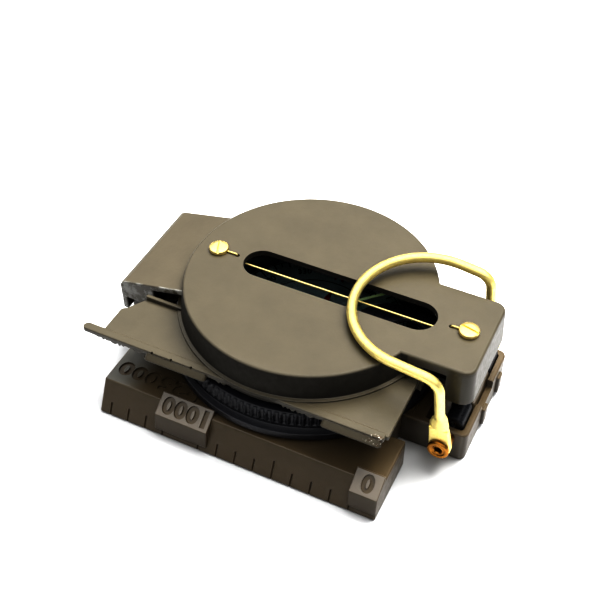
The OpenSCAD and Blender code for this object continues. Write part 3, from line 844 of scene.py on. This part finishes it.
def dial():
    """The card with its printed degree scale, numerals and north arrow."""
    r, top = CARD_R, CARD_TOP
    card = lathe(rounded([(2, top - 0.4), (r, top - 0.4), (r, top), (2, top)], 0.08, 2), 160)
    piece(card, "dial_card", "card", CARD, ["compass_card"])
    marks, reds = [], []
    for deg in range(0, 360, 5):
        length = 2.2 if deg % 30 == 0 else 1.6 if deg % 10 == 0 else 1.0
        half = 0.11 if deg % 10 == 0 else 0.07
        bar = block((r - 0.5 - length, -half, top - 0.02), (r - 0.5, half, top + 0.03))
        marks.append(moved(bar, Matrix.Rotation(math.radians(90 - deg), 4, "Z")))
    for deg in range(0, 360, 30):
        turn = Matrix.Rotation(math.radians(-deg), 4, "Z")
        spot = turn @ Matrix.Translation((0, r - 3.9, top))
        digits = str(deg)
        if deg % 90:
            marks.append(glyphs(digits, 0.95 * len(digits), 1.5, 0.06, spot))
        else:
            letter = {0: "N", 90: "E", 180: "S", 270: "W"}[deg]
            spot = turn @ Matrix.Translation((0, r - 4.4, top))
            (marks if deg else reds).append(glyphs(letter, 2.0, 2.4, 0.06, spot))
    for inner in (r - 0.4, r - 6.6):
        marks.append(lathe([(inner - 0.07, top - 0.02), (inner + 0.07, top - 0.02),
                            (inner + 0.07, top + 0.03), (inner - 0.07, top + 0.03)], 128))
    for k in range(4):
        tip, side, notch = (9.0, (0.9, 3.4), 4.0) if k else (11.0, (1.5, 3.2), 4.2)
        outline = [(0, tip), side, (0, notch), (-side[0], side[1])]
        star = slab(outline, top - 0.02, top + 0.03)
        (marks if k else reds).append(moved(star, Matrix.Rotation(-k * PI / 2, 4, "Z")))
    piece(joined(marks, "marks"), "dial_marks", "card", INK, flat=True)
    piece(joined(reds, "reds"), "dial_north", "card", RED_INK, flat=True)


# ---------------------------------------------------------------------- lid


def lid_outline(grow=0.0):
    """Plan of the lid's top: the drum with the tongue, their corners rounded."""
    r, half, end = DRUM_TOP_R + grow, TONGUE_HALF + grow, TONGUE_END + grow
    join = math.asin(half / r)
    arc = [(r * math.cos(a), r * math.sin(a))
           for a in (join + (2 * PI - 2 * join) * k / 150 for k in range(151))]
    tongue = [(end, -half), (end, half)]
    return rounded(arc + tongue, [0] * len(arc) + [TONGUE_CORNER] * 2, 6)


def tongue_outline(grow=0.0):
    """Plan of the tongue below the lid's top."""
    half, end = TONGUE_HALF + grow, TONGUE_END + grow
    plan = [(15, -half), (end, -half), (end, half), (15, half)]
    return rounded(plan, [0, TONGUE_CORNER, TONGUE_CORNER, 0], 6)


def slot_outline():
    """Plan of the sighting slot, with its round ends."""
    x0, x1, r = SLOT
    right = [(x1 - r + r * math.cos(a), r * math.sin(a))
             for a in (-PI / 2 + PI * k / 20 for k in range(21))]
    left = [(x0 + r - r * math.cos(a), -r * math.sin(a))
            for a in (-PI / 2 + PI * k / 20 for k in range(21))]
    return right + left


def flash(x0, x1):
    """A thin ragged fin of metal, hanging from the flange's underside."""
    rng = random.Random(int(x0 * 10))
    count = int((x1 - x0) / 0.42)
    ragged = []
    for k in range(count + 1):
        ends = min(1, k / 4, (count - k) / 4)
        drop = (0.12 + 0.75 * rng.random() ** 1.6) * ends
        ragged.append((x0 + (x1 - x0) * k / count, PLATE - 0.85 - drop - 0.03))
    outline = [(x0 + 0.2, PLATE - 0.5)] + ragged + [(x1 - 0.2, PLATE - 0.5)]
    return slab(outline, FLANGE_Y + 0.2, FLANGE_Y + 0.6, "Y")


def lid_casting():
    """Drum, tongue, plate and flange with its lips, hollow inside."""
    slope = (DRUM_FOOT_R - DRUM_TOP_R) / (LID_TOP - PLATE)
    skirt = LID_TOP - 0.9
    grow = slope * 0.9
    # the top with its rounded rim, holed by the sighting slot
    lid = slab(lid_outline(), skirt, LID_TOP, edge=0.5, low=0, steps=5, taper=slope)
    # the drum below it, with a fillet where it meets the plate
    drum = lathe(
        rounded([(0, 14.2), (DRUM_FOOT_R, 14.2), (DRUM_FOOT_R + 0.8, PLATE - 0.3),
                 (DRUM_FOOT_R + 0.72, PLATE + 0.3), (DRUM_FOOT_R, PLATE + 0.34),
                 (DRUM_TOP_R + grow, skirt + 0.02), (0, skirt + 0.02)],
                [0, 0.2, 0, 0.12, 0.2, 0, 0], 5), 192,
    )
    union(lid, drum)
    union(lid, slab(tongue_outline(grow), 13.8, skirt + 0.02, low=0.25, taper=0.055))
    plate = [(-33, -25.2), (-33, -18.4), (-32.1, -17.7), (-29.9, -14.2), (-29.9, -13.3),
             (-20, -13.3), (20, -13.3), (27.2, -9.6), (27.2, -25.2)]
    union(lid, slab(rounded(plate, [0.3, 0.5, 0.8, 0.5, 0.1, 0, 0, 0.3, 0.3], 4),
                    PLATE - 1.1, PLATE, edge=0.22))
    union(
        lid,
        block((-29.9, -14.2, PLATE - 0.5), (-20, -13.3, PLATE + 0.9), 0.25, 0),
        slab(rounded([(-37.2, FLANGE_Y), (26.6, FLANGE_Y), (26.6, FLANGE_Y + 1.8),
                      (-37.2, FLANGE_Y + 1.8)], [0.9, 0.5, 0.4, 0.9], 5),
             PLATE - 1.0, PLATE + 0.1, edge=0.25),
    )
    lip = [(FLANGE_Y + 1, PLATE - 0.5), (FLANGE_Y, PLATE - 0.2), (FLANGE_Y - 1.1, 15.0),
           (FLANGE_Y - 0.8, 14.6), (FLANGE_Y + 1, 14.6)]
    for x0, x1 in ((-22.6, -9.2), (14.6, 26.4)):
        union(lid, slab(rounded(lip, [0, 0.2, 0.25, 0.2, 0], 3), x0, x1, "X", edge=0.7, steps=5))
    # ragged casting flash under the flange, beside the lips
    for x0, x1 in ((-35.5, -22.4), (-9.4, 14.8)):
        union(lid, flash(x0, x1))
    for x in (-21.2, -17.0, -12.6):
        pit = disc(0.24, -0.3, 0.3, 0, 12)
        minus(lid, shifted(pit, x, FLANGE_Y + 0.12, PLATE - 0.15))
    # inside of the drum and of the tongue
    under = LID_TOP - 1.3
    minus(
        lid,
        disc(24.1, 0, under, 0.6, 160),
        block((10, -TONGUE_HALF + 1.3, 0), (TONGUE_END - 1.3, TONGUE_HALF - 1.3, under), 0.5, 0),
    )
    # windows in the tongue's side walls, beside the end tabs
    for y0, y1 in ((-12.5, -TONGUE_HALF + 3), (TONGUE_HALF - 3, 12.5)):
        minus(
            lid,
            slab(rounded([(25.6, PLATE), (32.2, PLATE), (32.2, 20.1), (25.6, 20.1)],
                         [0, 0, 0.5, 0.5]), y0, y1, "Y"),
            block((27.8, y0, 0), (32.2, y1, 20.05)),
        )
    minus(lid, slab(slot_outline(), 10, 30))
    for x in WIRE_HOLES:
        minus(lid, shifted(disc(0.45, 10, 30, 0, 24), x, 0, 0))
    for x in SCREW_HOLES:
        minus(lid, shifted(disc(0.8, under - 1, 30, 0, 24), x, 0, 0))
    return piece(lid, "lid_casting", "lid", OLIVE, ["lid_shell"])


def hood():
    """Sloping cover over the hinge, with two cheeks and two hinge ears."""
    low, high, end, half = 16.9, 20.4, -37.4, 12.2
    top = [(end, 9.2), (end, low - 1.2), (end + 0.4, low - 0.4), (end + 1.3, low + 0.1),
           (-21, high), (-21, high - 1.4), (end + 1.4, low - 1.4), (end + 1.2, 9.2)]
    shell = slab(rounded(top, [0.3, 0, 0.6, 0.8, 0, 0, 0.5, 0.3], 4), -half, half, "Y", edge=0.3)
    cheek = [(end, 12.4), (end, low - 1.2), (-29.4, low + 0.7), (-29.4, 15.4), (-33, 12.4)]
    ear = [(HINGE[0] - HINGE_BARREL, HINGE[1]), (end + 1, 10), (end + 1, low - 1),
           (-31, low), (-31, 12), (HINGE[0] + HINGE_BARREL, HINGE[1])]
    for s in (-1, 1):
        spans = sorted((s * half, s * (half - 1.4))), sorted((s * 8.2, s * 10.3))
        union(
            shell,
            slab(rounded(cheek, [0.6, 0.5, 0.3, 0.5, 0.8]), *spans[0], "Y", edge=0.25),
            slab(rounded(ear, [0, 0.3, 0.3, 0.3, 0.3, 0]), *spans[1], "Y", edge=0.2),
            rod(HINGE_BARREL, *spans[1], *HINGE, 0.25, 72),
        )
    drum = lathe([(0, 14), (DRUM_FOOT_R + 0.02, 14), (DRUM_FOOT_R + 0.02, PLATE),
                  (DRUM_TOP_R + 0.02, LID_TOP), (0, LID_TOP)], 192)
    minus(shell, rod(1.06, -30, 30, *HINGE), drum)
    return piece(shell, "hood_casting", "lid", OLIVE_HOOD_PAINTED_LIGHTER, ["hinge_hood"])


def wire_and_screws():
    """The sighting wire, bent down through its two holes, and its slotted screws."""
    wire_z, out_z, r = LID_TOP - 1.54, LID_TOP + 0.24, 0.22
    path = [(-19.0, 0, out_z)]
    for x, s in zip(WIRE_HOLES, (-1, 1)):
        bend = [(x + s * 0.35, out_z), (x + s * 0.1, out_z - 0.08), (x, out_z - 0.35),
                (x, wire_z + 0.35), (x - s * 0.1, wire_z + 0.08), (x - s * 0.35, wire_z)]
        path += [(u, 0, w) for u, w in (bend if s < 0 else reversed(bend))]
    path.append((31.1, 0, out_z))
    wire = sweep(path, [(r, r)] * len(path), 16, (0, 1, 0))
    piece(wire, "hair_wire", "lid", SCREW_BRASS, ["sight_wire"], sharp=80)
    heads = []
    for i, x in enumerate(SCREW_HOLES):
        screw = lathe(
            rounded([(0, -1.6), (0.78, -1.6), (0.78, 0.02), (2.0, 0.02), (2.0, 0.78),
                     (1.2, 1.0), (0, 1.02)], [0, 0.2, 0, 0.12, 0.28, 0.6, 0], 4), 72,
        )
        slot = block((-3, -0.24, 0.55), (3, 0.24, 2), 0.1)
        minus(screw, moved(slot, Matrix.Rotation(math.radians(-70 + 58 * i), 4, "Z")))
        relief = ((1.15, 3) if i == 0 else (-3, -1.15))
        minus(screw, block((relief[0], -0.3, -1), (relief[1], 0.3, 0.5)))
        heads.append(shifted(screw, x, 0, LID_TOP))
    piece(joined(heads, "screws"), "slotted_screws", "lid", SCREW_BRASS,
          ["wire_screws"])


# -------------------------------------------------------------- thumb ring


def on_loop(x, y):
    """A point of the ring's plane, which rises towards the far side."""
    return Vector((RING_X + x, y * math.cos(RING_TILT), RING_Z + y * math.sin(RING_TILT)))


def bent(p, q, s, r, steps=12):
    """The way from p to s with the corner q rounded by r."""
    u, v = (p - q).normalized(), (s - q).normalized()
    half = u.angle(v) / 2
    start, centre = q + u * (r / math.tan(half)), q + (u + v).normalized() * (r / math.sin(half))
    normal = (start - centre).cross(v)
    turn = PI - 2 * half
    arc = [centre + Matrix.Rotation(turn * k / steps, 3, normal) @ (start - centre)
           for k in range(steps + 1)]
    return [p] + arc + [s]


# The flattened end: height, shift to the hinge side, half width, half thickness.
FLAT_END = (
    (13.6, 0.62, 1.25, 0.9), (12.9, 0.70, 1.62, 0.8), (12.0, 0.72, 1.85, 0.7),
    (10.6, 0.66, 1.95, 0.68), (9.2, 0.5, 2.0, 0.66), (7.8, 0.3, 2.05, 0.62),
)


def thumb_loop():
    """Bent brass wire with both ends hammered flat and bored for the rivets."""
    px, pz = PIVOT
    angles, legs = [], []
    for s, top in zip((-1, 1), RING_TOPS):
        angles.append(math.atan2(top[1], top[0]) + s * math.acos(RING_R / math.hypot(*top)))
        corner = on_loop(*top)
        eye = Vector((px, s * EYE_Y, pz))
        foot = eye + (corner - eye) * 0.5
        start = on_loop(RING_R * math.cos(angles[-1]), RING_R * math.sin(angles[-1]))
        way = bent(start, corner, foot, 3.0)
        way = [way[0].lerp(way[1], k / 3) for k in (1, 2)] + way[1:-1]
        way += [way[-1].lerp(foot, k / 3) for k in (1, 2, 3)]
        halves = [(WIRE_R, WIRE_R)] * len(way)
        for z, x, wide, thick in FLAT_END:
            way.append(Vector((px - x, s * (EYE_Y + 0.02), z)))
            halves.append((wide, thick))
        legs.append((way, halves))
    near, far = angles[0] + 2 * PI, angles[1]
    arc = [on_loop(RING_R * math.cos(a), RING_R * math.sin(a))
           for a in (near + (far - near) * k / 80 for k in range(81))]
    path = legs[0][0][::-1] + arc + legs[1][0]
    widths = legs[0][1][::-1] + [(WIRE_R, WIRE_R)] * len(arc) + legs[1][1]
    loop = sweep(path, widths, 28)
    for s in (-1, 1):
        outline = [(px + 2.2 * math.cos(a), pz + 2.2 * math.sin(a))
                   for a in (PI - 0.15 + (PI + 0.3) * k / 32 for k in range(33))]
        outline += [(px + 1.55, 9.2), (px + 1.2, 10.6), (px - 2.5, 10.6), (px - 2.4, 9.2)]
        hole = [(px + 1.46 * math.cos(PI * k / 24), pz + 1.46 * math.sin(PI * k / 24))
                for k in range(48)]
        span = sorted((s * 15.4, s * 14.05))
        union(loop, slab(outline, *span, "Y", [hole], edge=0.22))
    return piece(loop, "thumb_loop", "thumb_ring", BRASS, ["thumb_ring"], sharp=50)


# ---------------------------------------------------------------- eyepiece


def bracket():
    """Folding arm with the sighting notch, the lens seat and the lens's knurled rim."""
    z0, z1, ex, ez = 14.2, 15.6, *EYE_HINGE
    nose = [(17 - 7.5 * math.sin(a), -7.5 * math.cos(a)) for a in (PI * k / 40 for k in range(41))]
    outline = nose[::-1] + [(34.6, -7.5), (34.6, 7.5)]
    hole = [(LENS_X + LENS_R * math.cos(PI * k / 32), LENS_R * math.sin(PI * k / 32))
            for k in range(64)]
    window = rounded([(27.5, -4.4), (31.6, -4.4), (31.6, 4.4), (27.5, 4.4)], 0.8)
    arm = slab(outline, z0, z1, holes=[hole, window], edge=0.3)
    for s in (-1, 1):
        web = sorted((s * 7.5, s * 5.2))
        barrel = sorted((s * 10.6, s * 5.0))
        union(
            arm,
            block((33.2, web[0], ez), (34.6, web[1], z0 + 0.6), 0.25),
            rod(EYE_BARREL, barrel[0], barrel[1], ex, ez, 0.35, 72),
        )
    seat = shifted(disc(4.25, z0 + 0.3, 30, 0, 96), LENS_X, 0, 0)
    notch = slab([(9, -1.6), (12.2, -0.25), (12.2, 0.25), (9, 1.6)], 10, 20)
    minus(arm, seat, notch, rod(0.81, -30, 30, ex, ez))
    piece(arm, "lens_arm", "eyepiece", BRACKET_BLACK, ["lens_bracket"])

    def knurl(r, z, ang):
        return r + 0.12 * math.sin(48 * ang) if r > 4.9 else r

    rim = lathe(
        rounded([(LENS_R, z1), (5.0, z1), (5.0, z1 + 0.6), (LENS_R, z1 + 0.6)],
                [0, 0, 0.15, 0.2], 3), 384, knurl,
    )
    piece(shifted(rim, LENS_X, 0, 0), "lens_rim", "eyepiece", BRACKET_BLACK,
          ["lens_retainer"])


base_casting()
rivets()
bezel()
dial()
lid_casting()
hood()
wire_and_screws()
thumb_loop()
bracket()

# --------------------------------------------------------- stage and camera


def look_from(azimuth, elevation, roll, distance, focal, shift_right, shift_up):
    """A camera on the photograph's line of sight. Lengths in millimetres; focal is
    the focal length as a share of the picture's width."""
    a, e = math.radians(azimuth), math.radians(elevation)
    back = Vector((math.sin(a) * math.cos(e), -math.cos(a) * math.cos(e), math.sin(e)))
    level = Vector((math.cos(a), math.sin(a), 0))
    rise = back.cross(level)
    r = math.radians(roll)
    right = level * math.cos(r) + rise * math.sin(r)
    up = rise * math.cos(r) - level * math.sin(r)
    data = bpy.data.cameras.new("camera")
    data.sensor_width = 36
    data.lens = 36 * focal
    data.clip_start, data.clip_end = 0.01, 10
    cam = placed("camera", data)
    turn = Matrix((right, up, back)).transposed().to_4x4()
    spot = (back * distance - right * shift_right - up * shift_up) * MM
    cam.matrix_world = Matrix.Translation(spot) @ turn
    scene.camera = cam


def softbox(name, place, aim, size, power, mirrored):
    """An area lamp; mirrored says whether glossy surfaces reflect it."""
    data = bpy.data.lights.new(name, "AREA")
    data.shape, data.size, data.size_y = "RECTANGLE", size[0], size[1]
    data.energy = power
    lamp = placed(name, data)
    lamp.location = place
    lamp.visible_glossy = mirrored
    lamp.rotation_euler = (Vector(aim) - Vector(place)).to_track_quat("-Z", "Y").to_euler()


# The sky: its height from and to, its strength from and to, and its colour.
WORLD, SKY_COLOUR = (0.2, 0.9, 0.03, 0.8), (0.97, 0.985, 1.0)
# The floor: half its side and its height in metres, and how bright diffuse rays,
# glossy rays and the camera find it.
FLOOR_HALF, FLOOR_Z = 3, -0.0001
FLOOR_BOUNCE = (0.05,) * 3
FLOOR_GLOSS = (0.48,) * 3
FLOOR_PAPER = (0.42,) * 3, (0.43,) * 3
FLOOR_FADE = (400, 900)  # mm from the object, where it fades into the backdrop
# Name, place, aim, size, power, and whether it shows in glossy surfaces.
LAMPS = (
    ("key", (0.12, 0.38, 0.72), (0, 0, 0), (0.6, 0.6), 27.0, False),
    ("tent", (-0.1, 0.1, 0.8), (0, 0, 0), (2.4, 2.2), 21.0, True),
)
EXPOSURE, GAMMA = 0.3, 0.6


def studio():
    """White paper floor, a pale sky and the lamps."""
    h = FLOOR_HALF
    corners = [(x, y, FLOOR_Z) for x, y in ((-h, -h), (h, -h), (h, h), (-h, h))]
    floor = make("floor", corners, [(0, 1, 2, 3)])
    look = Look("floor_white", Roughness=0.9, Specular_IOR_Level=0.1)
    paper = look.mix(look.noise(0.02, 2), *FLOOR_PAPER)
    rays = look.nodes.new("ShaderNodeLightPath").outputs
    sheen = look.mix(rays["Is Glossy Ray"], paper, FLOOR_GLOSS)
    look.set(Base_Color=look.mix(rays["Is Diffuse Ray"], sheen, FLOOR_BOUNCE))
    far = look.ranged(look.length(look.stretched(1, 1, 0)), *FLOOR_FADE, 0, 1, True)
    look.set(Emission_Color=(1, 1, 1),
             Emission_Strength=look.math("MULTIPLY", far, rays["Is Camera Ray"]))
    floor.data.materials.append(look.mat)
    world = bpy.data.worlds.new("studio")
    world.use_nodes = True
    sky = Nodes(world.node_tree)
    height = sky.new("SeparateXYZ", {0: sky.new("TexCoord", {}, "Generated")}, "Z")
    camera = sky.new("LightPath", {}, "Is Camera Ray")
    strength = sky.math("MAXIMUM", sky.ranged(height, *WORLD, True), camera)
    backdrop = sky.nodes["Background"].inputs
    sky.put(backdrop["Color"], SKY_COLOUR)
    sky.put(backdrop["Strength"], strength)
    scene.world = world
    for lamp in LAMPS:
        softbox(*lamp)
    scene.view_settings.view_transform = "Standard"
    scene.view_settings.look = "None"
    scene.view_settings.exposure = EXPOSURE
    scene.view_settings.gamma = GAMMA


look_from(25.951, 44.764, -0.118, 219.889, 1039.74 / 600, 2.203, -11.636)
studio()
